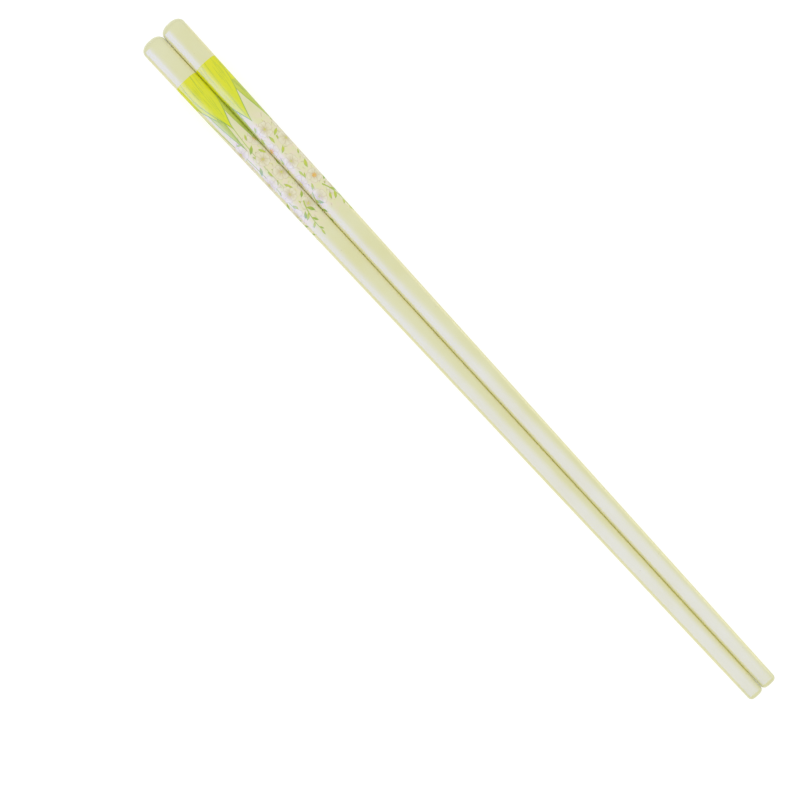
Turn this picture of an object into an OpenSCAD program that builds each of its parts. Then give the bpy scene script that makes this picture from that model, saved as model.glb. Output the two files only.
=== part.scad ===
// A pair of glazed ceramic chopsticks, lying side by side on their lower flats.
// Each stick is one cast piece: a square head with rounded corners and a domed end
// that tapers into a round tip. A printed band near the head has a straight upper
// edge, a green leaf field and a pale blossom field.
// Origin on the table under the middle of the pair, +X towards the tips, +Z up.

/* [Stick] */
// Length of a stick from its domed head to its tip
stick_len = 270; // [180:1:330]
// Width of the head across its flats
head_w = 8; // [6:0.1:12]
// Radius of the four long corners at the head
head_corner_r = 2.5; // [0.5:0.1:2.9]
// Diameter of the tip before its edge is eased
tip_d = 5; // [4:0.1:5.9]
// Width of flat that is left on each side of the nearly round tip
tip_flat_w = 0.3; // [0.1:0.1:0.8]

/* [Ends] */
// Length of the dome that closes the head
dome_len = 3; // [1:0.1:6]
// Radius of the eased edge at the tip
tip_edge_r = 1.3; // [0.2:0.1:1.4]

/* [Print] */
// Plain glaze from the end of the head to the straight edge of the print
plain_len = 17.5; // [8:0.5:40]
// Length of the green leaf field
leaf_len = 20; // [5:0.5:40]
// Length of the pale blossom field
blossom_len = 42; // [5:0.5:60]

/* [Pair] */
// Gap between the inner flats of the two sticks
pair_gap = 0.1; // [0.05:0.05:20]

/* [Hidden] */

// Facets along each rounded corner, the dome and the eased edge of the tip
corner_steps = 10;
dome_steps = 10;
tip_steps = 6;
// How far rounding may leave two equal stations apart
rounding = 0.001;

glaze = [0.93, 0.92, 0.80];
leaf_green = [0.80, 0.85, 0.25];
blossom_pale = [0.91, 0.90, 0.85];

// Where the straight taper between the two ends begins and ends
taper_from = dome_len;
taper_to = stick_len - tip_edge_r;
// A flat's slope to the stick's axis: each stick is turned by it, twice, to lie flat and beside the other
lay_angle = atan((head_w - tip_d) / 2 / (taper_to - taper_from));
// From the head's end, on the axis, to the plane of a flat once the stick is turned by the slope
axis_to_flat = head_w / 2 * cos(lay_angle) + taper_from * sin(lay_angle);

// The fields of colour along a stick, each with the station where it ends
FIELDS = [
    [glaze, plain_len],
    [leaf_green, plain_len + leaf_len],
    [blossom_pale, plain_len + leaf_len + blossom_len],
    [glaze, stick_len]
];

// Every station along the stick where a section is drawn
DOME_STATIONS = [for (i = [1 : dome_steps]) dome_len * (1 - cos(90 * i / dome_steps))];
TIP_STATIONS = [for (i = [0 : tip_steps]) taper_to + tip_edge_r * sin(90 * i / tip_steps)];
STATIONS = concat(DOME_STATIONS, [for (field = FIELDS) if (field[1] < taper_to) field[1]], TIP_STATIONS);

// The value part of the way from a to b
function between(a, b, share) = a + (b - a) * share;

// Half-width and corner radius of the section at a station: an ellipse over the dome, a straight
// taper from rounded square to round along the stick, and a quarter circle off the tip's edge
function section(x) =
    x < taper_from
        ? let (scale = sqrt(1 - pow(1 - x / dome_len, 2))) scale * [head_w / 2, head_corner_r]
    : x > taper_to
        ? let (inset = tip_edge_r - sqrt(max(0, pow(tip_edge_r, 2) - pow(x - taper_to, 2))))
            [tip_d / 2 - inset, (tip_d - tip_flat_w) / 2 - inset]
    : let (share = (x - taper_from) / (taper_to - taper_from))
        [between(head_w / 2, tip_d / 2, share), between(head_corner_r, (tip_d - tip_flat_w) / 2, share)];

// The points round the section at a station, one rounded corner after another
function ring(x) =
    let (size = section(x), half_flat = size[0] - size[1])
    [for (corner = [0 : 3], i = [0 : corner_steps])
        let (angle = 90 * (corner + i / corner_steps), middle = 45 + 90 * corner)
        [
            x,
            half_flat * sign(cos(middle)) + size[1] * cos(angle),
            half_flat * sign(sin(middle)) + size[1] * sin(angle)
        ]];

// One stretch of a stick: a skin over its rings, closed at each end by a fan about the axis
module stretch(from, to) {
    rings = [for (x = STATIONS) if (x > from - rounding && x < to + rounding) ring(x)];
    count = len(rings[0]);
    last = len(rings) - 1;
    points = concat([[from, 0, 0]], [for (points_of_ring = rings) each points_of_ring], [[to, 0, 0]]);
    end = len(points) - 1;
    sides = [for (k = [0 : last - 1], i = [0 : count - 1])
        let (a = 1 + k * count + i, b = 1 + k * count + (i + 1) % count)
        [a, a + count, b + count, b]];
    head_fan = [for (i = [0 : count - 1]) [0, 1 + i, 1 + (i + 1) % count]];
    tip_fan = [for (i = [0 : count - 1]) [end, 1 + last * count + (i + 1) % count, 1 + last * count + i]];
    polyhedron(points, concat(sides, head_fan, tip_fan));
}

// One chopstick about the X axis, with its head's end at the origin
module stick() {
    for (i = [0 : len(FIELDS) - 1])
        color(FIELDS[i][0])
            stretch(i == 0 ? 0 : FIELDS[i - 1][1], FIELDS[i][1]);
}

// Down on its lower flat, with its inner flat along the middle of the pair
module left_chopstick() {
    translate([-stick_len / 2, axis_to_flat + pair_gap / 2, axis_to_flat])
        rotate([0, lay_angle, -lay_angle])
            stick();
}

module right_chopstick() {
    mirror([0, 1, 0])
        left_chopstick();
}

left_chopstick();
right_chopstick();
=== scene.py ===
"""Looks of a pair of glazed ceramic chopsticks that lie side by side on a pale table.

Each stick is one closed mesh that follows the sizes of the CAD solid. Its print is drawn flat, as on a transfer
sheet of fired enamels, cut into the skin of the stick and wrapped round it, so every leaf, petal and stroke is part
of the surface. Shapes and patterns are worked out in millimetres and placed in metres.
"""

import logging
import math
import random
from dataclasses import dataclass, field
from enum import Enum
from typing import Any, NamedTuple

import bmesh
import bpy
import numpy as np
from mathutils import Matrix, Vector
from mathutils.geometry import delaunay_2d_cdt


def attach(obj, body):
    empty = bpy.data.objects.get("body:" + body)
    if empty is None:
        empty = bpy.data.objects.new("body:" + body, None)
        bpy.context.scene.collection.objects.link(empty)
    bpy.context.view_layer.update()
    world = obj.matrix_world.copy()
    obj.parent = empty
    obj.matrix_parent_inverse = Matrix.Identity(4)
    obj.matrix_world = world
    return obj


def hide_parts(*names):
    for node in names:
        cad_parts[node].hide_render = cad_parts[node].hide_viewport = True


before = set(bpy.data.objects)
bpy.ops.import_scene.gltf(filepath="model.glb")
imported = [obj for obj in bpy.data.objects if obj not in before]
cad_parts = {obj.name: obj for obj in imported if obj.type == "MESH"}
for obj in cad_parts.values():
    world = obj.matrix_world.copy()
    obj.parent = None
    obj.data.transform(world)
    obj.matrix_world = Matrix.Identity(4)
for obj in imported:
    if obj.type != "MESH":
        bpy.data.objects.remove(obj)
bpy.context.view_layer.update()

log = logging.getLogger("chopsticks")

MM = 0.001
# The turn that marks a point on the stick's own axis
AXIS_TURN = -1.0
# Points of a skin closer than this are one, and edges shorter than this are taken out
WELD_MM = 0.0002
SLIVER_MM = 0.0001
# How far apart, in millimetres, two corners of the flat drawing have to be
DRAWING_GRAIN = 1e-5

# Inputs of a colour-mixing node, and the settings that many nodes share
FACTOR, FIRST, SECOND = 0, 6, 7
IN_COLOUR = {"data_type": "RGBA"}
SOFT = {"interpolation_type": "SMOOTHSTEP"}

Point = tuple[float, float]
Colour = tuple[float, float, float, float]


# Helpers for colour, scale and nodes


def linear(colour: str) -> Colour:
    """Turns an sRGB hex colour into the linear colour that shaders work in.

    Args:
        colour: Six hex digits after a hash sign.

    Returns:
        Linear red, green and blue, and an alpha of one.
    """
    parts = [int(colour[i : i + 2], 16) / 255 for i in (1, 3, 5)]
    red, green, blue = (p / 12.92 if p <= 0.04045 else ((p + 0.055) / 1.055) ** 2.4 for p in parts)
    return red, green, blue, 1.0


def scale_of(size_mm: float) -> float:
    """Gives the texture scale, in object coordinates, at which one feature is size_mm across."""
    return 1 / (size_mm * MM)


def add_node(
    tree: bpy.types.NodeTree,
    kind: str,
    values: dict[str | int, Any] | None = None,
    links: dict[str | int, bpy.types.Node | bpy.types.NodeSocket] | None = None,
    **settings: Any,
) -> bpy.types.Node:
    """Adds one node, sets it up and links its inputs.

    Args:
        tree: Node tree that gets the node.
        kind: Node type, as Blender names it after ShaderNode.
        values: Fixed values by input name or number.
        links: What feeds an input, by its name or number: an output, or a node for the first output in use.
        **settings: Properties of the node itself.

    Returns:
        The new node.
    """
    node = tree.nodes.new(f"ShaderNode{kind}")
    for name, setting in settings.items():
        setattr(node, name, setting)
    for key, value in (values or {}).items():
        node.inputs[key].default_value = value
    for key, source in (links or {}).items():
        if isinstance(source, bpy.types.Node):
            source = next(output for output in source.outputs if output.enabled)
        tree.links.new(source, node.inputs[key])
    return node


class Ramp(NamedTuple):
    """How one measure follows from another. It runs evenly from low to high, and stays level beyond both ends.

    Attributes:
        start: Where it begins to run.
        end: Where it has run through.
        low: What it gives up to the start.
        high: What it gives from the end on.
    """

    start: float
    end: float
    low: float = 0.0
    high: float = 1.0

    @property
    def values(self) -> dict[str, float]:
        """Gives the input values of a node that maps a range."""
        return {"From Min": self.start, "From Max": self.end, "To Min": self.low, "To Max": self.high}


def new_material(name: str) -> tuple[bpy.types.Material, bpy.types.NodeTree]:
    """Makes an empty node material.

    Args:
        name: Name of the material.

    Returns:
        The material and its node tree.
    """
    material = bpy.data.materials.new(name)
    material.use_nodes = True
    material.node_tree.nodes.clear()
    return material, material.node_tree


# The stick's own shape


@dataclass(frozen=True)
class StickShape:
    """Sizes of one stick in millimetres, and where a point of its skin lies.

    A point is given by its station, from the head's end, and its turn, which counts quarters of the section from where
    the +Y flat meets the first corner. Each quarter is first a rounded corner and then a flat.

    Attributes:
        length: Whole length.
        head_width: Width of the head across its flats.
        head_corner: Radius of the long corners at the head.
        tip_width: Diameter of the tip.
        tip_flat: Width of flat left at the tip.
        dome: Length of the dome that closes the head.
        tip_edge: Radius of the tip's eased edge.
        arc_share: Share of a quarter that its corner takes.
        corner_steps: Facets along a corner.
        crown: Angle by which the glaze is crowned at the edges of a flat, in degrees.
        swell: How much the glazed corners swell towards the top and the lower flat, where 1 is a plain arc.
    """

    length: float = 270.0
    head_width: float = 8.0
    head_corner: float = 2.5
    tip_width: float = 5.0
    tip_flat: float = 0.3
    dome: float = 3.0
    tip_edge: float = 1.3
    arc_share: float = 0.567
    corner_steps: int = 12
    crown: float = 6.0
    swell: float = 1.35

    @property
    def taper_end(self) -> float:
        """Station where the eased edge of the tip begins."""
        return self.length - self.tip_edge

    @property
    def head_flat(self) -> float:
        """Half of a flat's length at the head."""
        return self.head_width / 2 - self.head_corner

    @property
    def tip_radius(self) -> float:
        """Radius of the corners at the tip."""
        return (self.tip_width - self.tip_flat) / 2

    @property
    def seam_turn(self) -> float:
        """Turn of the middle of the lower flat, where the wrapped print meets itself."""
        return 2 + (1 + self.arc_share) / 2

    @property
    def slope(self) -> float:
        """Angle between a flat and the stick's axis, in radians."""
        return math.atan((self.head_width - self.tip_width) / 2 / (self.taper_end - self.dome))

    @property
    def axis_to_flat(self) -> float:
        """Distance from the head's end, on the axis, to the plane of a flat once the stick lies on it."""
        return self.head_width / 2 * math.cos(self.slope) + self.dome * math.sin(self.slope)

    def ring_turns(self) -> np.ndarray:
        """Lists the turns of a ring's points, from the seam once round and back to it.

        Returns:
            The turns, rising from the seam's turn to four more than it.
        """
        corners = np.concatenate(
            [c + self.arc_share * np.arange(self.corner_steps + 1) / self.corner_steps for c in range(4)]
        )
        after = np.sort(np.where(corners < self.seam_turn, corners + 4, corners))
        return np.concatenate([[self.seam_turn], after, [self.seam_turn + 4]])

    def quarter(self, turn: np.ndarray) -> tuple[np.ndarray, np.ndarray]:
        """Finds the direction that the skin faces, and its corner's middle for a unit square.

        Args:
            turn: Turns of the points.

        Returns:
            Facing directions and corner middles, each as an array of (y, z) rows.
        """
        turn = np.mod(turn, 4)
        corner = np.minimum(np.floor(turn), 3)
        part = turn - corner
        angle = np.radians(90 * (corner + np.minimum(part / self.arc_share, 1)))
        facing = np.stack([np.cos(angle), np.sin(angle)], -1)
        middle = np.radians(45 + 90 * corner)
        here = np.sign(np.stack([np.cos(middle), np.sin(middle)], -1))
        following = np.sign(np.stack([np.cos(middle + math.pi / 2), np.sin(middle + math.pi / 2)], -1))
        share = np.clip((part - self.arc_share) / (1 - self.arc_share), 0, 1)[..., None]
        return facing, here + (following - here) * share

    def crowned(self, turn: np.ndarray) -> np.ndarray:
        """Finds the direction that the glazed skin faces, with its flats crowned by a few hundredths of a millimetre.

        Args:
            turn: Turns of the points.

        Returns:
            Directions as an array of (y, z) rows.
        """
        turn = np.mod(turn, 4)
        corner = np.minimum(np.floor(turn), 3)
        part = turn - corner
        along = np.clip(part / self.arc_share, 0, 1)
        swollen = np.where(np.mod(corner, 2) == 0, 1 - (1 - along) ** self.swell, along**self.swell)
        on_arc = self.crown + (90 - 2 * self.crown) * swollen
        on_flat = 90 - self.crown + 2 * self.crown * (part - self.arc_share) / (1 - self.arc_share)
        angle = np.radians(90 * corner + np.where(part <= self.arc_share, on_arc, on_flat))
        return np.stack([np.cos(angle), np.sin(angle)], -1)

    def section(self, station: np.ndarray) -> tuple[np.ndarray, np.ndarray]:
        """Gives the size of the section: half of a flat's length, and the corner radius.

        Args:
            station: Stations of the points.

        Returns:
            Half-flats and radii.
        """
        share = np.clip((station - self.dome) / (self.taper_end - self.dome), 0, 1)
        flat = self.head_flat + (self.tip_flat / 2 - self.head_flat) * share
        radius = self.head_corner + (self.tip_radius - self.head_corner) * share
        scale = np.sqrt(np.clip(1 - (1 - np.clip(station / self.dome, 0, 1)) ** 2, 0, 1))
        beyond = np.clip(station - self.taper_end, 0, self.tip_edge)
        inset = self.tip_edge - np.sqrt(np.clip(self.tip_edge**2 - beyond**2, 0, None))
        return flat * scale, radius * scale - inset

    def skin_length(self, station: float) -> float:
        """Measures the way over the skin from the head's end to a station.

        Args:
            station: The station.

        Returns:
            The length in millimetres, over a quarter ellipse, the taper and a quarter circle.
        """
        half = self.head_width / 2
        over = math.acos(1 - min(station / self.dome, 1)) if station > 0 else 0.0
        count = 16
        steps = [over * (k + 0.5) / count for k in range(count)]
        dome = sum(math.hypot(self.dome * math.sin(a), half * math.cos(a)) for a in steps) * over / count
        straight = min(max(station - self.dome, 0), self.taper_end - self.dome)
        beyond = min(max(station - self.taper_end, 0) / self.tip_edge, 1)
        return dome + straight + self.tip_edge * math.asin(beyond)

    def points(self, station: np.ndarray, turn: np.ndarray) -> np.ndarray:
        """Places points of the skin about the stick's own axis.

        Args:
            station: Stations of the points.
            turn: Turns of the points.

        Returns:
            One (x, y, z) row for each point.
        """
        facing, middle = self.quarter(turn)
        flat, radius = self.section(station)
        across = middle * flat[..., None] + facing * radius[..., None]
        return np.concatenate([station[..., None], across], -1)

    def normals(self, station: np.ndarray, turn: np.ndarray) -> np.ndarray:
        """Gives the true direction that the skin faces, so that facets never show in a reflection.

        Args:
            station: Stations of the points.
            turn: Turns of the points.

        Returns:
            One unit (x, y, z) row for each point.
        """
        facing, middle = self.quarter(turn)
        reach = (middle * facing).sum(-1)
        facing = self.crowned(turn)
        run = self.taper_end - self.dome
        fall = (self.head_flat - self.tip_flat / 2) / run * reach
        fall = fall + (self.head_corner - self.tip_radius) / run
        cosine = 1 - np.clip(station / self.dome, 0, 1)
        sine = np.sqrt(np.clip(1 - cosine**2, 0, 1))
        dome_lean = -(self.head_flat * reach + self.head_corner) * cosine / self.dome
        tip_sine = np.clip((station - self.taper_end) / self.tip_edge, 0, 1)
        tip_cosine = np.sqrt(1 - tip_sine**2)
        lean = np.where(station < self.dome, dome_lean, np.where(station > self.taper_end, tip_sine, fall))
        spread = np.where(station < self.dome, sine, np.where(station > self.taper_end, tip_cosine, 1.0))
        rows = np.concatenate([lean[..., None], facing * spread[..., None]], -1)
        return rows / np.linalg.norm(rows, axis=-1, keepdims=True)


# Finishes


class Pigment(Enum):
    """What a part of the skin is finished with. The number is its material slot."""

    BARE_GLAZE = 0
    LIME_LEAF = 1
    LIME_VEIN = 2
    YOUNG_LEAF = 3
    LEAF_EDGE = 4
    DEEP_GREEN = 5
    STEM = 6
    PETAL = 7
    PETAL_LINE = 8
    POLLEN = 9
    HEART = 10


@dataclass(frozen=True)
class GlazeSkin:
    """Clear feldspar glaze, fired to a glass. It gives the eye a wet gloss with slightly wandering highlights.

    Its skin is nearly mirror smooth. Waves of several millimetres come from how the glaze flowed, and a much finer
    orange peel from how it cooled.

    Attributes:
        ior: How strongly it bends light.
        gloss: Its roughness, which follows the peel.
        wave_mm: Length of a wave.
        wave_depth_mm: Its depth.
        peel_mm: Size of a dimple of the peel.
        peel_depth_mm: Its depth.
        enamel_depth_mm: How thick a pigment lies under the glaze.
        enamel_lift: How much of that still shows on top.
    """

    ior: float = 1.52
    gloss: Ramp = Ramp(0.3, 0.7, 0.04, 0.10)
    wave_mm: float = 12.0
    wave_depth_mm: float = 0.008
    peel_mm: float = 1.1
    peel_depth_mm: float = 0.0006
    enamel_depth_mm: float = 0.004
    enamel_lift: float = 0.5

    def finish(self, tree: bpy.types.NodeTree, colour: bpy.types.Node, lift: bpy.types.Node | None = None) -> None:
        """Closes a material with the glaze over a colour.

        Args:
            tree: Node tree of the material.
            colour: Node that gives the colour under the glaze.
            lift: Node that gives how thick the enamel lies, from 0 to 1, where there is any.
        """
        place = add_node(tree, "TexCoord").outputs["Object"]
        flow = {"Scale": scale_of(self.wave_mm), "Detail": 1.0, "Roughness": 0.4}
        wave = add_node(tree, "TexNoise", flow, {"Vector": place})
        dimples = {"Scale": scale_of(self.peel_mm), "Detail": 2.0, "Roughness": 0.5}
        peel = add_node(tree, "TexNoise", dimples, {"Vector": place})
        layers = [(wave, self.wave_depth_mm, 1.0), (peel, self.peel_depth_mm, 1.0)]
        if lift is not None:
            layers.append((lift, self.enamel_depth_mm, self.enamel_lift))
        normal: dict[str | int, bpy.types.Node] = {}
        for height, depth, share in layers:
            bump = {"Strength": share, "Distance": depth * MM}
            normal = {"Normal": add_node(tree, "Bump", bump, {"Height": height, **normal})}
        gloss = add_node(tree, "MapRange", self.gloss.values, {"Value": peel})
        shader = add_node(
            tree,
            "BsdfPrincipled",
            {"IOR": self.ior, "Metallic": 0.0},
            {"Base Color": colour, "Roughness": gloss, **normal},
        )
        add_node(tree, "OutputMaterial", links={"Surface": shader})


@dataclass(frozen=True)
class IvoryGlaze:
    """Cream stoneware body under clear glaze. It gives the eye a warm ivory, yellower where the glaze pooled.

    Down the two sides it is painted lighter and yellower, a painted bounce light that stands for the light thrown
    into the sides. A cloudy rose and green wash lies under the blossoms, and rare iron specks of a few tenths of a
    millimetre show.

    Attributes:
        body: Colour of the glazed body.
        pooled: Colour of the clouds where the glaze pooled.
        sides: Colour of the painted bounce light down the sides, lighter and yellower than the body.
        wash: Colour of the wash under the blossoms.
        second_wash: Colour that its clouds take.
        speck: Colour of the specks.
        top_place: Place round the girth of the top flat's middle, in millimetres.
        side_place: How far round from there the middle of a side flat lies.
        middle_station: Station of the stick's middle.
        side_glow_reach: How the painted bounce light of the sides fades round the girth.
        side_glow_stretch: How it fades towards both ends, by the distance from the stick's middle.
        pool_mm: Size of the clouds.
        pools: How they stand out.
        wash_rise: Stations where the wash begins.
        wash_fall: Stations where it ends.
        wash_strength: How much of the body it hides.
        cloud_mm: Size of the wash's own clouds.
        clouds: How they stand out.
        speck_mm: Distance between the places that may hold a speck.
        speck_size: How a speck fades from its middle, as a share of that distance.
        speck_rarity: Share of those places that stay empty.
    """

    body: str = "#D9D9B1"
    pooled: str = "#D6D5A3"
    sides: str = "#E1DDA9"
    wash: str = "#E2D5BE"
    second_wash: str = "#DADBAC"
    speck: str = "#B7AE7C"
    top_place: float = 13.0
    side_place: float = 6.5
    middle_station: float = 135.0
    side_glow_reach: Ramp = Ramp(2.0, 4.6, 1.0, 0.0)
    side_glow_stretch: Ramp = Ramp(127.0, 133.0, 1.0, 0.0)
    pool_mm: float = 16.0
    pools: Ramp = Ramp(0.35, 0.72)
    wash_rise: Ramp = Ramp(36.0, 44.0)
    wash_fall: Ramp = Ramp(74.0, 82.0, 1.0, 0.0)
    wash_strength: float = 0.75
    cloud_mm: float = 1.8
    clouds: Ramp = Ramp(0.4, 0.6)
    speck_mm: float = 1.6
    speck_size: Ramp = Ramp(0.05, 0.11, 0.6, 0.0)
    speck_rarity: float = 0.93

    def material(self, skin: GlazeSkin) -> bpy.types.Material:
        """Builds the glaze's material.

        Args:
            skin: The clear glaze over it.

        Returns:
            The material.
        """
        material, tree = new_material("ivory_glazed_stoneware")
        place = add_node(tree, "TexCoord").outputs["Object"]
        chart = add_node(tree, "UVMap", uv_map="SkinMap")
        along = add_node(tree, "SeparateXYZ", links={"Vector": chart})

        # The body, with its pools
        large = {"Scale": scale_of(self.pool_mm), "Detail": 3.0, "Roughness": 0.55}
        pool = add_node(tree, "TexNoise", large, {"Vector": place})
        pooled = add_node(tree, "MapRange", self.pools.values, {"Value": pool})
        both = {FIRST: linear(self.body), SECOND: linear(self.pooled)}
        ground = add_node(tree, "Mix", both, {FACTOR: pooled}, **IN_COLOUR)

        # The painted bounce light down the sides, lighter and yellower than the body, short of both ends
        aside = add_node(tree, "Math", {1: self.top_place}, {0: along.outputs["Y"]}, operation="SUBTRACT")
        round_top = add_node(tree, "Math", links={0: aside}, operation="ABSOLUTE")
        off_side = add_node(tree, "Math", {1: self.side_place}, {0: round_top}, operation="SUBTRACT")
        apart = add_node(tree, "Math", links={0: off_side}, operation="ABSOLUTE")
        # How much of the painted bounce light lies here round the girth, strongest on the side flats
        thick = add_node(tree, "MapRange", self.side_glow_reach.values, {"Value": apart}, **SOFT)
        off_middle = add_node(tree, "Math", {1: self.middle_station}, {0: along.outputs["X"]}, operation="SUBTRACT")
        outward = add_node(tree, "Math", links={0: off_middle}, operation="ABSOLUTE")
        off_ends = add_node(tree, "MapRange", self.side_glow_stretch.values, {"Value": outward}, **SOFT)
        side = add_node(tree, "Math", links={0: thick, 1: off_ends}, operation="MULTIPLY")
        with_side_glow = add_node(tree, "Mix", {SECOND: linear(self.sides)}, {FACTOR: side, FIRST: ground}, **IN_COLOUR)

        # The wash under the blossoms, in two tones
        rises = add_node(tree, "MapRange", self.wash_rise.values, {"Value": along.outputs["X"]}, **SOFT)
        fades = add_node(tree, "MapRange", self.wash_fall.values, {"Value": along.outputs["X"]}, **SOFT)
        within = add_node(tree, "Math", links={0: rises, 1: fades}, operation="MULTIPLY")
        washed = add_node(tree, "Math", {1: self.wash_strength}, {0: within}, operation="MULTIPLY")
        fine = {"Scale": scale_of(self.cloud_mm), "Detail": 3.0, "Roughness": 0.6}
        cloud = add_node(tree, "TexNoise", fine, {"Vector": place})
        clouded = add_node(tree, "MapRange", self.clouds.values, {"Value": cloud})
        tones = {FIRST: linear(self.wash), SECOND: linear(self.second_wash)}
        two_tone = add_node(tree, "Mix", tones, {FACTOR: clouded}, **IN_COLOUR)
        tinted = add_node(tree, "Mix", links={FACTOR: washed, FIRST: with_side_glow, SECOND: two_tone}, **IN_COLOUR)

        # The rare specks
        cells = add_node(
            tree, "TexVoronoi", {"Scale": scale_of(self.speck_mm), "Randomness": 1.0}, {"Vector": place}
        )
        small = add_node(tree, "MapRange", self.speck_size.values, {"Value": cells.outputs["Distance"]})
        tone = add_node(tree, "SeparateColor", links={"Color": cells.outputs["Color"]})
        rare = add_node(tree, "Math", {1: self.speck_rarity}, {0: tone.outputs["Red"]}, operation="GREATER_THAN")
        specks = add_node(tree, "Math", links={0: small, 1: rare}, operation="MULTIPLY")
        colour = add_node(tree, "Mix", {SECOND: linear(self.speck)}, {FACTOR: specks, FIRST: tinted}, **IN_COLOUR)
        skin.finish(tree, colour)
        return material


@dataclass(frozen=True)
class FiredEnamel:
    """Enamel pigment printed on a transfer sheet and fired under the glaze.

    It gives the eye a clear colour that runs from the root of a leaf or petal to its end, with the uneven, streaked
    grain of a brushed wash.

    Attributes:
        name: Name of the material.
        root: Colour at the root of the motif.
        end: Colour at its end.
        streak: Colour of the strokes in the wash.
        grain_mm: Width of a stroke.
        stretch: How many times longer than wide a stroke is.
        streaks: How strongly the strokes show.
        run: How the colour runs over the way from root to end.
        stroke_from: Grain at which a stroke begins to show.
        stroke_full: Grain at which it shows in full.
    """

    name: str
    root: str
    end: str
    streak: str
    grain_mm: float = 0.5
    stretch: float = 6.0
    streaks: float = 0.5
    run: Ramp = Ramp(0.05, 0.95)
    stroke_from: float = 0.45
    stroke_full: float = 0.75

    def material(self, skin: GlazeSkin) -> bpy.types.Material:
        """Builds the pigment's material.

        Args:
            skin: The clear glaze over it.

        Returns:
            The material.
        """
        material, tree = new_material(self.name)
        motif = add_node(tree, "UVMap", uv_map="MotifMap")
        split = add_node(tree, "SeparateXYZ", links={"Vector": motif})
        run = add_node(tree, "MapRange", self.run.values, {"Value": split.outputs["X"]}, **SOFT)
        ends = {FIRST: linear(self.root), SECOND: linear(self.end)}
        wash = add_node(tree, "Mix", ends, {FACTOR: run}, **IN_COLOUR)
        chart = add_node(tree, "UVMap", uv_map="SkinMap")
        stroke = (1 / (self.grain_mm * self.stretch), 1 / self.grain_mm, 1.0)
        brush = add_node(tree, "Mapping", {"Scale": stroke}, {"Vector": chart})
        grain = add_node(tree, "TexNoise", {"Scale": 1.0, "Detail": 3.0, "Roughness": 0.6}, {"Vector": brush})
        shown = Ramp(self.stroke_from, self.stroke_full, 0.0, self.streaks)
        strokes = add_node(tree, "MapRange", shown.values, {"Value": grain})
        colour = add_node(tree, "Mix", {SECOND: linear(self.streak)}, {FACTOR: strokes, FIRST: wash}, **IN_COLOUR)
        skin.finish(tree, colour, grain)
        return material


@dataclass(frozen=True)
class Palette:
    """Every finish of a stick, in the order of its material slots.

    Attributes:
        skin: The clear glaze over all of them.
        ivory: The bare glazed body.
        enamels: The pigments of the print.
    """

    skin: GlazeSkin = GlazeSkin()
    ivory: IvoryGlaze = IvoryGlaze()
    enamels: tuple[tuple[Pigment, FiredEnamel], ...] = (
        (Pigment.LIME_LEAF, FiredEnamel("lime_leaf_enamel", "#DADA1C", "#D2DA26", "#CDD41C", 0.6, 8.0, 0.6)),
        (Pigment.LIME_VEIN, FiredEnamel("leaf_vein_enamel", "#B4C428", "#9FBA36", "#A6B82C", 0.4, 5.0, 0.6)),
        (Pigment.YOUNG_LEAF, FiredEnamel("young_leaf_enamel", "#CAD246", "#BECB5A", "#B0C048", 0.4, 7.0, 0.6)),
        (Pigment.LEAF_EDGE, FiredEnamel("leaf_edge_enamel", "#AEBC3E", "#8DAE4A", "#94AE42", 0.5, 4.0, 0.6)),
        (Pigment.DEEP_GREEN, FiredEnamel("deep_green_enamel", "#AEBE48", "#90AE4C", "#7FA043", 0.4, 4.0, 0.7)),
        (Pigment.STEM, FiredEnamel("stem_enamel", "#A9BF46", "#93B244", "#86A83E", 0.4, 5.0, 0.6)),
        (Pigment.PETAL, FiredEnamel("petal_enamel", "#D8D2AC", "#E1DEC4", "#D2C9A8", 0.6, 2.0, 0.8)),
        (Pigment.PETAL_LINE, FiredEnamel("petal_line_enamel", "#B8AB84", "#C4B79A", "#AC9E80", 0.4, 3.0, 0.6)),
        (Pigment.POLLEN, FiredEnamel("pollen_orange_enamel", "#E2A548", "#E8BA64", "#DA9638", 0.2, 1.0, 0.6)),
        (Pigment.HEART, FiredEnamel("blossom_heart_enamel", "#C6C860", "#D6D07A", "#B8BE52", 0.3, 1.0, 0.6)),
    )

    def materials(self) -> list[bpy.types.Material]:
        """Builds the materials.

        Returns:
            The materials in slot order.
        """
        made = {Pigment.BARE_GLAZE: self.ivory.material(self.skin)}
        made.update({pigment: enamel.material(self.skin) for pigment, enamel in self.enamels})
        return [made[pigment] for pigment in Pigment]


# The print


@dataclass(frozen=True)
class Patch:
    """One filled outline of the print.

    Attributes:
        outline: Corners as (station, place round the girth) in millimetres.
        pigment: What it is filled with.
        root: Where its colour begins to run.
        end: Where it has run through.
    """

    outline: tuple[Point, ...]
    pigment: Pigment
    root: Point
    end: Point

    def own_place(self, point: Point) -> Point:
        """Gives a point's share of the way from root to end, and its distance off that line in millimetres.

        Args:
            point: A point of the sheet.

        Returns:
            The share and the distance.
        """
        dx, dv = self.end[0] - self.root[0], self.end[1] - self.root[1]
        reach = math.hypot(dx, dv)
        px, pv = point[0] - self.root[0], point[1] - self.root[1]
        return (px * dx + pv * dv) / reach**2, (pv * dx - px * dv) / reach

    def moved(self, shift: float) -> "Patch":
        """Gives the same patch further round the girth."""
        return Patch(
            tuple((x, v + shift) for x, v in self.outline),
            self.pigment,
            (self.root[0], self.root[1] + shift),
            (self.end[0], self.end[1] + shift),
        )


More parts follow.
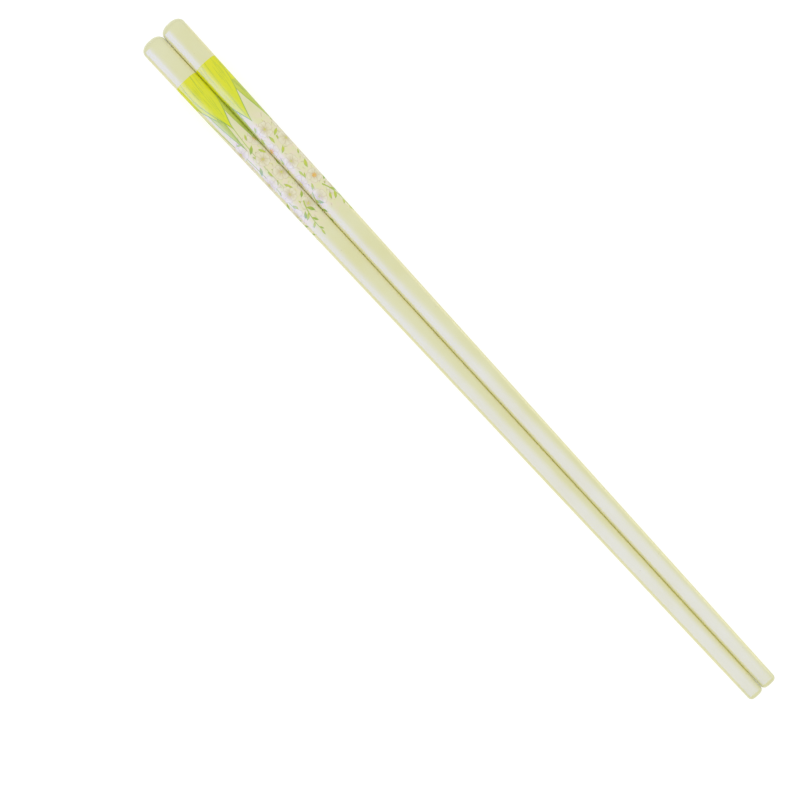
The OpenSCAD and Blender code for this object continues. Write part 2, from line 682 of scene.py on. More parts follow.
@dataclass
class FloralPrint:
    """A band of leaves over scattered blossoms, drawn flat in millimetres.

    The first measure of a point is its station along the stick and the second its place round the girth. Later
    patches lie over earlier ones.

    Attributes:
        girth: Width of the sheet, which goes once round.
        sheet_start: Station where the sheet begins.
        plain_length: Station of the straight edge, up to which it is cut off.
        overlap: How far whole fields reach past the sheet's sides.
        strokes: How many pencil strokes lie under the blossoms.
        seed: Where the row of random numbers starts.
        patches: What is drawn.
    """

    girth: float = 26.0
    sheet_start: float = 9.5
    plain_length: float = 17.5
    overlap: float = 2.0
    strokes: int = 220
    seed: int = 11
    patches: list[Patch] = field(default_factory=list)

    def __post_init__(self) -> None:
        """Seeds the hand-drawn unevenness and draws the sheet."""
        self.chance = random.Random(self.seed)
        self.draw_stems()
        self.draw_blossoms()
        self.draw_sprigs()
        self.draw_leaf_field()
        self.cut_upper_edge()

    def some(self, least: float, most: float) -> float:
        """Draws an uneven measure."""
        return self.chance.uniform(least, most)

    def fill(self, outline: list[Point], pigment: Pigment, root: Point, end: Point) -> None:
        """Adds a patch, with its corners counted anticlockwise."""
        area = sum(a[0] * b[1] - b[0] * a[1] for a, b in zip(outline, outline[1:] + outline[:1]))
        self.patches.append(Patch(tuple(outline if area > 0 else outline[::-1]), pigment, root, end))

    def spine(self, root: Point, end: Point, bend: float, share: float) -> tuple[Point, Point]:
        """Finds a point of a bent line, and the direction across it there.

        Args:
            root: Start of the line.
            end: End of the line.
            bend: How far its middle stands off the straight line.
            share: Share of the way along it.

        Returns:
            The point, and the unit direction across.
        """
        dx, dv = end[0] - root[0], end[1] - root[1]
        reach = math.hypot(dx, dv)
        ax, av = dx / reach, dv / reach
        off = 4 * bend * share * (1 - share)
        slant = 4 * bend * (1 - 2 * share) / reach
        size = math.hypot(1, slant)
        point = (root[0] + dx * share - av * off, root[1] + dv * share + ax * off)
        return point, ((-av - ax * slant) / size, (ax - av * slant) / size)

    def ribbon(
        self,
        root: Point,
        end: Point,
        bend: float,
        widths: list[float],
        pigment: Pigment,
        start: float = 0.0,
        stop: float = 1.0,
        aside: list[float] | None = None,
    ) -> None:
        """Fills a band along a bent line.

        Args:
            root: Start of the line.
            end: End of the line.
            bend: How far its middle stands off the straight line.
            widths: Half-widths of the band, evenly spaced along it.
            pigment: What it is filled with.
            start: Share of the line where the band begins.
            stop: Share where it ends.
            aside: How far the band's own middle stands off the line, evenly spaced like widths.
        """
        count = len(widths)
        aside = aside or [0.0] * count
        left, right = [], []
        for k, (width, off) in enumerate(zip(widths, aside)):
            share = start + (stop - start) * k / (count - 1)
            (x, v), (nx, nv) = self.spine(root, end, bend, share)
            left.append((x + nx * (off + width), v + nv * (off + width)))
            right.append((x + nx * (off - width), v + nv * (off - width)))
        self.fill(left + right[::-1], pigment, root, end)

    def leaf(
        self,
        root: Point,
        end: Point,
        width: float,
        bend: float,
        pigment: Pigment,
        edge: Pigment,
        vein: Pigment,
        shoulder: float = 0.0,
        line: float = 0.13,
        veins: int = 0,
    ) -> None:
        """Draws a pointed leaf with an edge line, a midrib and fine parallel veins.

        Args:
            root: Where the leaf begins.
            end: Its point.
            width: Its full width.
            bend: How far its middle stands off the straight line.
            pigment: Its wash.
            edge: Its edge line.
            vein: Its midrib and veins.
            shoulder: How wide the root already is, from 0 for a stalk to 0.5 for the leaf's full width.
            line: Width of the edge line.
            veins: How many veins are drawn.
        """
        steps = 22
        profile = [
            width / 2 * math.sin(math.pi * (shoulder + (1 - shoulder) * k / steps)) ** 1.12 for k in range(steps + 1)
        ]
        outer = [max(w, 0.02) for w in profile]
        inner = [max(w - line, 0.01) for w in profile]
        self.ribbon(root, end, bend, outer, edge)
        self.ribbon(root, end, bend, inner, pigment, 0.0, 0.985)
        for _ in range(veins):
            lane = self.some(-0.82, 0.82)
            begin = self.some(0.05, 0.72)
            finish = min(begin + self.some(0.10, 0.26), 0.93)
            parts = 6
            shares = [begin + (finish - begin) * k / (parts - 1) for k in range(parts)]
            off = [lane * inner[min(int(s * steps), steps)] for s in shares]
            thin = [0.012 + 0.05 * math.sin(math.pi * (k + 0.3) / parts) for k in range(parts)]
            self.ribbon(root, end, bend, thin, vein, begin, finish, off)
        rib = [0.09 * (1 - k / 12) + 0.015 for k in range(13)]
        self.ribbon(root, end, bend, rib, vein, 0.03, 0.93)

    def stem(self, root: Point, end: Point, bend: float, width: float = 0.2, pigment: Pigment = Pigment.STEM) -> None:
        """Draws a thin stem that narrows to its end."""
        self.ribbon(root, end, bend, [width / 2 * (1 - 0.6 * k / 12) for k in range(13)], pigment)

    def disc(self, centre: Point, radius: float, pigment: Pigment, sides: int = 10) -> None:
        """Draws a small round dab.

        Args:
            centre: Its middle.
            radius: Its radius.
            pigment: What it is filled with.
            sides: How many corners it has.
        """
        turn = self.some(0, 1)
        ways = [2 * math.pi * (k + turn) / sides for k in range(sides)]
        ring = [(centre[0] + radius * math.cos(way), centre[1] + radius * math.sin(way)) for way in ways]
        self.fill(ring, pigment, centre, (centre[0] + radius, centre[1]))

    def petal(self, centre: Point, turn: float, length: float, width: float) -> None:
        """Draws one round-ended petal with a shallow notch, an edge line and three fine lines.

        Args:
            centre: Heart of the blossom.
            turn: Direction of the petal, in radians.
            length: Its length.
            width: Its width.
        """
        ax, av = math.cos(turn), math.sin(turn)
        root = (centre[0] + ax * 0.12 * length, centre[1] + av * 0.12 * length)
        end = (centre[0] + ax * length, centre[1] + av * length)
        corners = 22
        for inset, pigment in ((0.0, Pigment.PETAL_LINE), (0.085, Pigment.PETAL)):
            ring: list[Point] = []
            for k in range(corners):
                t = 2 * math.pi * k / corners
                swell = 0.5 * (1 - math.cos(t))
                notch = 0.09 * math.exp(-(((t - math.pi) / 0.32) ** 2))
                along = (0.12 + 0.88 * swell - notch) * length
                across = math.sin(t) * width / 2 * (0.62 + 0.5 * swell)
                along += inset if swell < 0.5 else -inset
                across *= 1 - 2 * inset / width
                ring.append((centre[0] + ax * along - av * across, centre[1] + av * along + ax * across))
            self.fill(ring, pigment, root, end)
        for spread, reach in ((-0.22, 0.62), (0.0, 0.74), (0.22, 0.62)):
            way = turn + spread
            tip = (centre[0] + math.cos(way) * length * reach, centre[1] + math.sin(way) * length * reach)
            self.ribbon(
                (centre[0] + math.cos(way) * 0.2 * length, centre[1] + math.sin(way) * 0.2 * length),
                tip,
                0.06 * self.some(-1, 1),
                [0.035, 0.03, 0.024, 0.012],
                Pigment.PETAL_LINE,
            )

    def blossom(self, centre: Point, radius: float, orange: bool) -> None:
        """Draws a five-petalled blossom with its stamens.

        Args:
            centre: Its heart.
            radius: Length of a petal.
            orange: Whether its pollen is ripe.
        """
        turn = self.some(0, 2 * math.pi)
        for k in (0, 2, 4, 1, 3):
            way = turn + 2 * math.pi * k / 5 + self.some(-0.08, 0.08)
            self.petal(centre, way, radius * self.some(0.92, 1.06), radius * 1.02)
        self.disc(centre, 0.16 * radius if orange else 0.13 * radius, Pigment.POLLEN if orange else Pigment.HEART, 12)
        for k in range(7):
            way = turn + 2 * math.pi * (k + 0.5) / 7
            reach = radius * self.some(0.2, 0.27)
            spot = (centre[0] + reach * math.cos(way), centre[1] + reach * math.sin(way))
            self.stem(centre, spot, 0.0, 0.07, Pigment.HEART)
            dab = Pigment.POLLEN if orange or k % 3 == 0 else Pigment.HEART
            self.disc(spot, (0.2 if orange else 0.1) * self.some(0.8, 1.1), dab, 8)

    def leaflet(self, root: Point, way: float, length: float, deep: bool = False) -> None:
        """Draws a small leaf of the lower field.

        Args:
            root: Where it begins.
            way: Its direction, in radians.
            length: Its length.
            deep: Whether it is one of the darker ones.
        """
        end = (root[0] + math.cos(way) * length, root[1] + math.sin(way) * length)
        bend = length * self.some(-0.1, 0.1)
        wash = Pigment.DEEP_GREEN if deep else Pigment.YOUNG_LEAF
        self.leaf(root, end, length * 0.34, bend, wash, Pigment.LEAF_EDGE, Pigment.DEEP_GREEN, line=0.1)

    def draw_stems(self) -> None:
        """Draws the stems that run down between the blossoms."""
        for v, drift, bottom in ((2.0, 2.2, 66.0), (8.6, -1.8, 74.0), (14.8, 2.4, 69.0), (21.4, -2.0, 76.0)):
            self.stem((30.0, v), (bottom, v + drift), 1.1 if drift > 0 else -1.1, 0.26)

    def draw_blossoms(self) -> None:
        """Scatters blossoms, buds and paired leaves over the lower field."""
        for k in range(self.strokes):
            x, v = self.some(40.0, 76.0), self.some(0.0, self.girth)
            way, reach = self.some(-1.2, 1.2), self.some(0.6, 1.8)
            end = (x + math.cos(way) * reach, v + math.sin(way) * reach)
            pigment = Pigment.HEART if k % 4 == 0 else Pigment.PETAL_LINE
            self.ribbon((x, v), end, self.some(-0.3, 0.3), [0.03, 0.08, 0.06, 0.02], pigment)
        rows = ((45.5, 0.5), (52.0, 3.6), (58.6, 0.9), (65.0, 4.2), (71.2, 1.4))
        for row, (station, first) in enumerate(rows):
            for k in range(4):
                v = first + 6.5 * k + self.some(-0.6, 0.6)
                x = station + self.some(-1.0, 1.0)
                deep = k % 3 == 0
                self.leaflet((x + 1.2, v + 2.6), self.some(0.2, 1.2), self.some(2.4, 3.4), deep)
                self.leaflet((x - 2.6, v + 1.9), self.some(-0.5, 0.9), self.some(1.4, 2.2))
                if (row + k) % 2:
                    self.leaflet((x - 1.0, v - 2.5), self.some(2.4, 3.6), self.some(2.2, 3.0))
                self.blossom((x, v), self.some(2.55, 3.05), (row + 2 * k) % 5 == 0)

    def draw_sprigs(self) -> None:
        """Draws the green sprigs that close the print."""
        for v, side in ((3.4, 1.0), (10.2, -1.0), (16.6, 1.0), (23.0, -1.0)):
            root, end = (69.5, v - side), (79.5, v + 1.2 * side)
            self.stem(root, end, 0.7 * side, 0.42, Pigment.STEM)
            for k in range(5):
                share = 0.22 + 0.17 * k
                (x, vv), _ = self.spine(root, end, 0.7 * side, share)
                way = (0.75 if k % 2 else -0.75) + 0.2 * side
                self.leaflet((x, vv), way, 3.1 - 0.3 * k, k % 2 == 0)
            self.leaflet(end, 0.15 * side, 2.3)

    def draw_leaf_field(self) -> None:
        """Draws the closed field of broad leaves under the straight edge, with narrow ones between them."""
        slender = ((4.4, 5.0, 47.0), (9.9, 8.8, 44.5), (15.4, 17.8, 50.5), (20.3, 19.5, 45.5), (25.2, 26.0, 48.0))
        for v, v_end, x_end in slender:
            wash, edge, vein = Pigment.YOUNG_LEAF, Pigment.LEAF_EDGE, Pigment.DEEP_GREEN
            self.leaf((16.0, v), (x_end, v_end), 2.9, 0.5, wash, edge, vein, 0.2, 0.14, 9)
        ground = [(12.0, -1.0), (27.0, -1.0), (27.0, self.girth + 1), (12.0, self.girth + 1)]
        self.fill(ground, Pigment.LIME_LEAF, (12.0, 0.0), (40.0, 0.0))
        broad = (
            (6.9, 5.4, 34.6, 7.2, -0.5),
            (17.7, 16.2, 36.0, 7.4, -0.6),
            (1.5, 3.4, 39.0, 7.8, 0.6),
            (22.7, 21.2, 38.4, 7.6, -0.7),
            (12.2, 14.4, 41.0, 8.2, 0.7),
        )
        for v, v_end, x_end, width, bend in broad:
            wash, edge, vein = Pigment.LIME_LEAF, Pigment.LEAF_EDGE, Pigment.LIME_VEIN
            self.leaf((11.0, v), (x_end, v_end), width, bend, wash, edge, vein, 0.24, 0.15, 16)

    def cut_upper_edge(self) -> None:
        """Cuts everything off along the straight edge towards the head."""
        low, high = -self.overlap, self.girth + self.overlap
        start, end = self.sheet_start, self.plain_length
        self.fill([(start, low), (end, low), (end, high), (start, high)], Pigment.BARE_GLAZE, (0.0, 0.0), (1.0, 0.0))


# The sticks


class Side(Enum):
    """Which stick of the pair it is. The number is the side of the pair's middle that it lies on."""

    LEFT = 1
    RIGHT = -1

    @property
    def node(self) -> str:
        """Name of the CAD node."""
        return f"{self.name.lower()}_chopstick"


@dataclass
class SkinMesh:
    """A skin that is gathered corner by corner before it becomes a mesh.

    Attributes:
        stations: Station of each point.
        turns: Turn of each point.
        faces: Point numbers of each face.
        slots: Material slot of each face.
        places: For each corner of each face, where it lies on the unrolled skin.
        own_places: The same in its own motif.
    """

    stations: list[float] = field(default_factory=list)
    turns: list[float] = field(default_factory=list)
    faces: list[tuple[int, ...]] = field(default_factory=list)
    slots: list[int] = field(default_factory=list)
    places: list[Point] = field(default_factory=list)
    own_places: list[Point] = field(default_factory=list)

    def point(self, station: float, turn: float) -> int:
        """Adds a point.

        Args:
            station: Its station.
            turn: Its turn.

        Returns:
            Its number.
        """
        self.stations.append(station)
        self.turns.append(turn)
        return len(self.stations) - 1

    def face(self, corners: tuple[int, ...], places: list[Point], pigment: Pigment, own: list[Point]) -> None:
        """Adds a face.

        Args:
            corners: Numbers of its points.
            places: Where its corners lie on the unrolled skin, in millimetres.
            pigment: Its finish.
            own: Where its corners lie in their own motif.
        """
        self.faces.append(corners)
        self.slots.append(pigment.value)
        self.places.extend(places)
        self.own_places.extend(own)


@dataclass
class Chopstick:
    """One stick: a closed skin with the print wrapped round it.

    Attributes:
        side: Which stick of the pair it is.
        shape: Its sizes.
        artwork: The print that goes round it.
        print_turn: How far the print is turned round it, in millimetres of girth.
        pair_gap: Gap between the two sticks, in millimetres.
        print_start: Station where the skin that holds the print begins.
        print_end: Station where it ends.
        dome_steps: Rings over the dome.
        tip_steps: Rings over the eased edge of the tip.
        station_step: Distance between the rings of the plain body.
        strip_length: Length of stick that one strip of the bake map holds.
        strip_room: Length of skin that the strip has room for.
        strip_pitch: Distance from one strip to the next on the bake map, which is 1 wide.
        map_margin: Free edge of that map.
        head_disc: Middle of the head's disc on it.
        tip_disc: Middle of the tip's disc on it.
    """

    side: Side
    shape: StickShape
    artwork: FloralPrint
    print_turn: float
    pair_gap: float = 0.1
    print_start: float = 9.0
    print_end: float = 88.0
    dome_steps: int = 14
    tip_steps: int = 8
    station_step: float = 6.0
    strip_length: float = 90.0
    strip_room: float = 93.0
    strip_pitch: float = 0.32
    map_margin: float = 0.01
    head_disc: Point = (0.05, 0.97)
    tip_disc: Point = (0.15, 0.97)

    def turn_at(self, place: float) -> float:
        """Gives the turn of a place round the girth."""
        return self.shape.seam_turn + 4 * place / self.artwork.girth

    def ring_places(self) -> list[float]:
        """Gives the places round the girth where every ring has a point."""
        return [float(t - self.shape.seam_turn) / 4 * self.artwork.girth for t in self.shape.ring_turns()]

    def add_plain(self, skin: SkinMesh, stations: list[float]) -> None:
        """Adds a stretch of plain rings.

        Args:
            skin: The skin that grows.
            stations: Stations of its rings.
        """
        places = self.ring_places()
        rings = [[skin.point(x, self.turn_at(v)) for v in places] for x in stations]
        for (xa, ring_a), (xb, ring_b) in zip(zip(stations, rings), zip(stations[1:], rings[1:])):
            for i in range(len(places) - 1):
                where = [(xa, places[i]), (xa, places[i + 1]), (xb, places[i + 1]), (xb, places[i])]
                corners = (ring_a[i], ring_a[i + 1], ring_b[i + 1], ring_b[i])
                skin.face(corners, where, Pigment.BARE_GLAZE, [(0.0, 0.0)] * 4)

    def add_cap(self, skin: SkinMesh, station: float) -> None:
        """Closes the skin with a fan about the axis.

        Args:
            skin: The skin that grows.
            station: Station of the ring that it closes.
        """
        places = self.ring_places()
        head = station < self.shape.dome
        ring = [skin.point(station, self.turn_at(v)) for v in places]
        middle = skin.point(0.0 if head else self.shape.length, AXIS_TURN)
        for i in range(len(places) - 1):
            corners = (ring[i], middle, ring[i + 1]) if head else (ring[i], ring[i + 1], middle)
            where = [(station, places[i]), (station, places[i + 1]), (station, places[i])]
            skin.face(corners, where, Pigment.BARE_GLAZE, [(0.0, 0.0)] * 3)

    def add_print(self, skin: SkinMesh) -> None:
        """Cuts the print into the skin and adds its triangles.

        Args:
            skin: The skin that grows.
        """
        girth, start, end = self.artwork.girth, self.print_start, self.print_end
        corners: list[Point] = []
        lines: list[tuple[int, ...]] = []
        outlines: list[list[int]] = []

        def numbered(points: list[Point]) -> list[int]:
            """Adds points to the drawing and gives their numbers."""
            corners.extend(points)
            return list(range(len(corners) - len(points), len(corners)))

        outlines.append(numbered([(start, 0.0), (end, 0.0), (end, girth), (start, girth)]))
        for place in self.ring_places()[1:-1]:
            lines.append(tuple(numbered([(start, place), (end, place)])))
        count = round((end - start) / self.station_step)
        for k in range(1, count):
            x = start + (end - start) * k / count
            lines.append(tuple(numbered([(x, 0.0), (x, girth)])))
        sources: list[Patch | None] = [None]
        for patch in self.artwork.patches:
            for shift in (self.print_turn - girth, self.print_turn, self.print_turn + girth):
                copy = patch.moved(shift)
                around = [v for _, v in copy.outline]
                if max(around) > 0 and min(around) < girth:
                    outlines.append(numbered(list(copy.outline)))
                    sources.append(copy)
        result = delaunay_2d_cdt([Vector(p) for p in corners], lines, outlines, 0, DRAWING_GRAIN, True)
        # The points, the triangles and, for each triangle, the outlines that cover it
        flat_points, triangles, covers = result[0], result[2], result[5]
        inside = [max(cover) for cover in covers if 0 in cover]
        kept = [tri for tri, cover in zip(triangles, covers) if 0 in cover]
        numbers: dict[int, int] = {}
        for triangle, top in zip(kept, inside):
            where = [(float(flat_points[i][0]), float(flat_points[i][1])) for i in triangle]
            for i, (x, v) in zip(triangle, where):
                if i not in numbers:
                    numbers[i] = skin.point(x, self.turn_at(v))
            patch = sources[top]
            own = [patch.own_place(p) for p in where] if patch else [(0.0, 0.0)] * 3
            ids = tuple(numbers[i] for i in triangle)
            skin.face(ids[::-1], where[::-1], patch.pigment if patch else Pigment.BARE_GLAZE, own[::-1])

    def placement(self) -> Matrix:
        """Works out the move from the stick's own axis to where it lies.

        Returns:
            The move, in metres.
        """
        side, slope = self.side.value, self.shape.slope
        aside = self.shape.axis_to_flat + self.pair_gap / 2
        where = Matrix.Translation(Vector((-self.shape.length / 2, side * aside, self.shape.axis_to_flat)) * MM)
        return where @ Matrix.Rotation(-side * slope, 4, "Z") @ Matrix.Rotation(slope, 4, "Y")

    def build(self, materials: list[bpy.types.Material]) -> bpy.types.Object:
        """Builds the stick, dresses it and places it over its CAD node.

        Args:
            materials: Finishes in slot order.

        Returns:
            The finished piece.
        """
        shape = self.shape
        skin = SkinMesh()
        dome = [shape.dome * (1 - math.cos(math.pi / 2 * k / self.dome_steps)) for k in range(1, self.dome_steps + 1)]
        tip = [
            shape.taper_end + shape.tip_edge * math.sin(math.pi / 2 * k / self.tip_steps)
            for k in range(self.tip_steps + 1)
        ]
        strips = [self.strip_length, 2 * self.strip_length]
        steps = round((shape.taper_end - self.print_end) / self.station_step)
        body = [self.print_end + (shape.taper_end - self.print_end) * k / steps for k in range(steps)]
        body = sorted(set(body) | set(strips))
        self.add_cap(skin, dome[0])
        self.add_plain(skin, dome + [self.print_start])
        self.add_print(skin)
        self.add_plain(skin, body + tip)
        self.add_cap(skin, tip[-1])
        return self.finish_mesh(skin, materials)

    def finish_mesh(self, skin: SkinMesh, materials: list[bpy.types.Material]) -> bpy.types.Object:
        """Turns the gathered skin into a closed mesh with its maps, normals and finishes.

        Args:
            skin: The gathered skin.
            materials: Finishes in slot order.

        Returns:
            The object.
        """
        station, turn = np.array(skin.stations), np.array(skin.turns)
        on_axis = turn < 0
        points = self.shape.points(station, np.where(on_axis, 0, turn))
        points[on_axis, 1:] = 0
        mesh = bpy.data.meshes.new(f"{self.side.node}_skin")
        mesh.from_pydata((points * MM).tolist(), [], skin.faces)
        mesh.polygons.foreach_set("material_index", skin.slots)
        for name, rows in (
            ("SkinMap", skin.places),
            ("MotifMap", skin.own_places),
            ("OFBake", self.bake_places(skin)),
        ):
            layer = mesh.uv_layers.new(name=name)
            layer.uv.foreach_set("vector", np.array(rows, dtype=np.float32).ravel())
        for name, values in (("station", station), ("turn", turn)):
            mesh.attributes.new(name, "FLOAT", "POINT").data.foreach_set("value", values.astype(np.float32))
        shell = bmesh.new()
        shell.from_mesh(mesh)
        bmesh.ops.remove_doubles(shell, verts=shell.verts, dist=WELD_MM * MM)
        bmesh.ops.dissolve_degenerate(shell, edges=shell.edges, dist=SLIVER_MM * MM)
        open_edges = sum(1 for edge in shell.edges if not edge.is_manifold)
        shell.to_mesh(mesh)
        shell.free()
        count = len(mesh.vertices)
        station, turn = np.empty(count, np.float32), np.empty(count, np.float32)
        mesh.attributes["station"].data.foreach_get("value", station)
        mesh.attributes["turn"].data.foreach_get("value", turn)
        normals = self.shape.normals(station.astype(float), np.where(turn < 0, 0, turn).astype(float))
        for name in ("station", "turn"):
            mesh.attributes.remove(mesh.attributes[name])
        for material in materials:
            mesh.materials.append(material)
        mesh.transform(self.placement())
        turned = normals @ np.array(self.placement().to_3x3()).T
        mesh.polygons.foreach_set("use_smooth", [True] * len(mesh.polygons))
        mesh.normals_split_custom_set_from_vertices(turned.tolist())
        piece = bpy.data.objects.new(f"{self.side.name.lower()}_stick", mesh)
        bpy.context.scene.collection.objects.link(piece)
        log.info("%s: %d faces, %d open edges", piece.name, len(mesh.polygons), open_edges)
        return piece

    def bake_places(self, skin: SkinMesh) -> list[Point]:
        """Gives every corner its place on a map that holds the whole skin in three strips and the ends as discs.

        Lengths along a strip are measured on the skin itself, so the dome and the tip's edge keep their share.

        Args:
            skin: The gathered skin.

        Returns:
            One place for each corner of each face, from 0 to 1 each way.
        """
        scale = (1 - 2 * self.map_margin) / self.strip_room
        rows: list[Point] = []
        first = 0
        for corners in skin.faces:
            own = skin.places[first : first + len(corners)]
            first += len(corners)
            if any(skin.turns[i] == AXIS_TURN for i in corners):
                across = self.shape.points(
                    np.array([skin.stations[i] for i in corners]), np.array([max(skin.turns[i], 0) for i in corners])
                )
                middle = self.head_disc if own[0][0] < self.shape.dome else self.tip_disc
                for i, (_, y, z) in zip(corners, across):
                    reach = 0.0 if skin.turns[i] == AXIS_TURN else scale
                    rows.append((middle[0] + reach * float(y), middle[1] + reach * float(z)))
                continue
            strip = min(int(sum(x for x, _ in own) / len(own) / self.strip_length), 2)
            start = self.shape.skin_length(strip * self.strip_length)
            foot = self.map_margin + strip * self.strip_pitch
            for x, v in own:
                rows.append((self.map_margin + scale * (self.shape.skin_length(x) - start), foot + scale * v))
        return rows


# The studio


@dataclass
class Studio:
    """Camera, floor and soft light, in the photograph's own geometry.

    Attributes:
        tilt: Slope of the camera's line of sight, from the vertical towards the heads, as a share of its drop.
        roll: How far the camera is turned about its own line of sight, in degrees.
        target: Point of the table that it looks at, in millimetres.
        distance: Its distance from there, in millimetres.
        lens: Focal length in millimetres, on a sensor 36 mm wide.
        floor_size: Side of the square floor, in metres.
        floor_drop_mm: How far it lies under the sticks.
        floor_colours: The two tones that wander over it.
        floor_grain_mm: How far apart they lie.
        window_colour: Colour of the sky in the window.
        window_power: Its brightness, where the plain white room has about 1.
        strip_shift: How far the window's and the opening's middle leans towards the heads, by direction.
        strip_reach: How both fade to either side of it.
        rim_power: Brightness of the low pale opening across from the window.
        wall_power: Brightness of the white walls that show in reflections, at the horizon and overhead.
        room_power: Brightness of the room's light, at the horizon and overhead.
        table_glow: How much light the table itself gives, as a light table does.
        slit_shade_colour: Colour of its glow under the slit between the sticks, a painted shade with painted yellow
            bounce light.
        slit_reach: How that colour fades across them, in metres.
        slit_stretch: How it fades towards both ends, in metres from their middle.
    """

    tilt: float = 0.1
    roll: float = 47.535
    target: Point = (-1.657, -21.525)
    distance: float = 672.98
    lens: float = 100.0
    floor_size: float = 6.0
    floor_drop_mm: float = 0.05
    floor_colours: tuple[str, str] = ("#A4A4A4", "#A8A8A7")
    floor_grain_mm: float = 60.0
    window_colour: str = "#7478FF"
    window_power: float = 7.4
    strip_shift: float = 0.08
    strip_reach: Ramp = Ramp(0.28, 0.52, 1.0, 0.0)
    rim_power: float = 3.0
    wall_power: tuple[float, float] = (0.3, 0.85)
    room_power: tuple[float, float] = (0.60, 1.26)
    table_glow: float = 0.70
    slit_shade_colour: str = "#D0CC26"
    slit_reach: Ramp = Ramp(1.5 * MM, 2.5 * MM, 1.0, 0.0)
    slit_stretch: Ramp = Ramp(128 * MM, 132 * MM, 1.0, 0.0)

    def add_camera(self) -> None:
        """Makes the scene's camera."""
        roll = math.radians(self.roll)
        look = Vector((-self.tilt, 0.0, -1.0)).normalized()
        right = (Vector((1.0, 0.0, 0.0)) - look * look.x).normalized()
        up = right.cross(look)
        turned_right = right * math.cos(roll) + up * math.sin(roll)
        turned_up = up * math.cos(roll) - right * math.sin(roll)
        data = bpy.data.cameras.new("camera")
        data.lens, data.sensor_width = self.lens, 36.0
        data.clip_start, data.clip_end = 0.01, 50.0
        camera = bpy.data.objects.new("camera", data)
        turn = Matrix((turned_right, turned_up, -look)).transposed().to_4x4()
        place = Vector((*self.target, 0.0)) * MM - look * self.distance * MM
        camera.matrix_world = Matrix.Translation(place) @ turn
        bpy.context.scene.collection.objects.link(camera)
        bpy.context.scene.camera = camera

    def add_floor(self) -> None:
        """Makes the plain pale floor, a frosted light table that leaves hardly any shadow round the sticks.

        In the groove under the two sticks its glow is dimmed and tinted the yellow of the glaze: painted shade and
        painted bounce light, which show up through the slit between them.
        """
        half, low = self.floor_size / 2, -self.floor_drop_mm * MM
        mesh = bpy.data.meshes.new("floor")
        rim = [(-half, -half, low), (half, -half, low), (half, half, low), (-half, half, low)]
        mesh.from_pydata(rim, [], [(0, 1, 2, 3)])
        material, tree = new_material("frosted_light_table")
        place = add_node(tree, "TexCoord").outputs["Object"]
        frost = {"Scale": scale_of(self.floor_grain_mm), "Detail": 2.0}
        grain = add_node(tree, "TexNoise", frost, {"Vector": place})
        first, second = self.floor_colours
        tones = {FIRST: linear(first), SECOND: linear(second)}
        colour = add_node(tree, "Mix", tones, {FACTOR: grain}, **IN_COLOUR)
        way = add_node(tree, "SeparateXYZ", links={"Vector": place})
        aside = add_node(tree, "Math", links={0: way.outputs["Y"]}, operation="ABSOLUTE")
        outward = add_node(tree, "Math", links={0: way.outputs["X"]}, operation="ABSOLUTE")
        # Painted shade and painted yellow bounce light: under the slit between the sticks the glow dims to the slit
        # colour
        in_groove = add_node(tree, "MapRange", self.slit_reach.values, {"Value": aside})
        off_ends = add_node(tree, "MapRange", self.slit_stretch.values, {"Value": outward})
        slit_shade = add_node(tree, "Math", links={0: in_groove, 1: off_ends}, operation="MULTIPLY")
        glows = {FIRST: linear("#FFFFFF"), SECOND: linear(self.slit_shade_colour)}
        glow = add_node(tree, "Mix", glows, {FACTOR: slit_shade}, **IN_COLOUR)
        shader = add_node(
            tree,
            "BsdfPrincipled",
            {"Roughness": 0.9, "IOR": 1.5, "Specular IOR Level": 0.2, "Emission Strength": self.table_glow},
            {"Base Color": colour, "Emission Color": glow},
        )
        add_node(tree, "OutputMaterial", links={"Surface": shader})
        mesh.materials.append(material)
        floor = bpy.data.objects.new("floor", mesh)
        bpy.context.scene.collection.objects.link(floor)

    def add_light(self) -> None:
        """Makes the soft light of a white studio: a room that is brighter overhead, and a window in its reflections.

        The window is a cool strip of sky across the sticks, without a hard edge. It stands on the -Y side of the heads,
        reaches overhead towards the tips, and shows in reflections alone. So does a low pale opening on the +Y side,
        which draws a thin light line along the outer flank.
        """
        world = bpy.data.worlds.new("white_room")
        world.use_nodes = True
        tree = world.node_tree
        tree.nodes.clear()
        way = add_node(tree, "SeparateXYZ", links={"Vector": add_node(tree, "TexCoord").outputs["Generated"]})
        at: dict[str, bpy.types.Node] = {}
        for name, axis, ramp, run in (
            # The window: its edge, its width and its brightness change from the heads to the tips
            ("edge", "X", Ramp(-0.12, 0.11, -0.18, 0.75), "LINEAR"),
            ("width", "X", Ramp(-0.30, 0.12, 0.25, 1.05), "LINEAR"),
            ("power", "X", Ramp(-0.28, 0.11, self.window_power, 0.7 * self.window_power), "LINEAR"),
            ("raised", "Z", Ramp(0.1, 0.5), "SMOOTHSTEP"),
            # The walls, and the low opening in them, which ends short of the heads
            ("pale", "Z", Ramp(0.0, 0.5, *self.wall_power), "LINEAR"),
            ("across", "Y", Ramp(0.5, 0.9, 0.0, self.rim_power), "SMOOTHSTEP"),
            ("low", "Z", Ramp(0.1, 0.4, 1.0, 0.0), "SMOOTHSTEP"),
            ("past_heads", "X", Ramp(-0.26, -0.10), "LINEAR"),
            # The room's own light
            ("overhead", "Z", Ramp(0.0, 1.0, *self.room_power), "LINEAR"),
        ):
            at[name] = add_node(tree, "MapRange", ramp.values, {"Value": way.outputs[axis]}, interpolation_type=run)
        inside = add_node(tree, "Math", links={0: at["edge"], 1: way.outputs["Y"]}, operation="SUBTRACT")
        share = add_node(tree, "Math", links={0: inside, 1: at["width"]}, operation="DIVIDE")
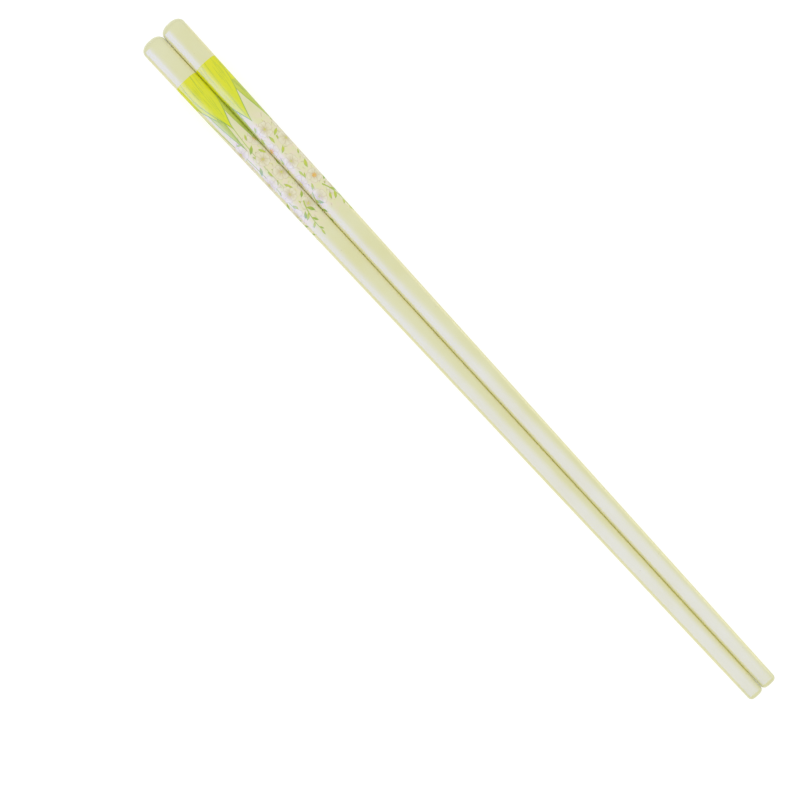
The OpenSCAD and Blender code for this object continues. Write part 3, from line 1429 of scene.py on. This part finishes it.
        seen = add_node(tree, "MapRange", Ramp(-0.5, 0.5).values, {"Value": share}, **SOFT)
        off_strip = add_node(tree, "Math", {1: self.strip_shift}, {0: way.outputs["X"]}, operation="ADD")
        beside = add_node(tree, "Math", links={0: off_strip}, operation="ABSOLUTE")
        strip = add_node(tree, "MapRange", self.strip_reach.values, {"Value": beside}, **SOFT)
        bright = at["raised"]
        for factor in (strip, seen, at["power"]):
            bright = add_node(tree, "Math", links={0: bright, 1: factor}, operation="MULTIPLY")
        rim = at["across"]
        for factor in (at["low"], strip, at["past_heads"]):
            rim = add_node(tree, "Math", links={0: rim, 1: factor}, operation="MULTIPLY")
        lit = add_node(tree, "Math", links={0: rim, 1: at["pale"]}, operation="ADD")
        window = add_node(tree, "Background", {"Color": linear(self.window_colour)}, {"Strength": bright})
        walls = add_node(tree, "Background", {"Color": linear("#FFFFFF")}, {"Strength": lit})
        mirrored = add_node(tree, "AddShader", links={0: window, 1: walls})
        room = add_node(tree, "Background", {"Color": linear("#FFFFFF")}, {"Strength": at["overhead"]})
        glossy = add_node(tree, "LightPath").outputs["Is Glossy Ray"]
        both = add_node(tree, "MixShader", links={0: glossy, 1: room, 2: mirrored})
        add_node(tree, "OutputWorld", links={"Surface": both})
        bpy.context.scene.world = world

    def set_up(self) -> None:
        """Builds the whole studio."""
        self.add_camera()
        self.add_floor()
        self.add_light()
        settings = bpy.context.scene.view_settings
        settings.view_transform = "Standard"
        settings.look = "None"


def main() -> None:
    """Builds the studio and both sticks, and reports each piece."""
    logging.basicConfig(level=logging.INFO, format="%(name)s: %(message)s")
    Studio().set_up()
    materials = Palette().materials()
    shape = StickShape()
    artwork = FloralPrint()
    log.info("print: %d patches", len(artwork.patches))
    for side, turned in ((Side.LEFT, 0.0), (Side.RIGHT, 9.0)):
        stick = Chopstick(side, shape, artwork, turned)
        piece = stick.build(materials)
        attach(piece, "root")
        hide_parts(side.node)
        log.info("%s rides on root and stands for %s", piece.name, side.node)


if __name__ == "__main__":
    main()
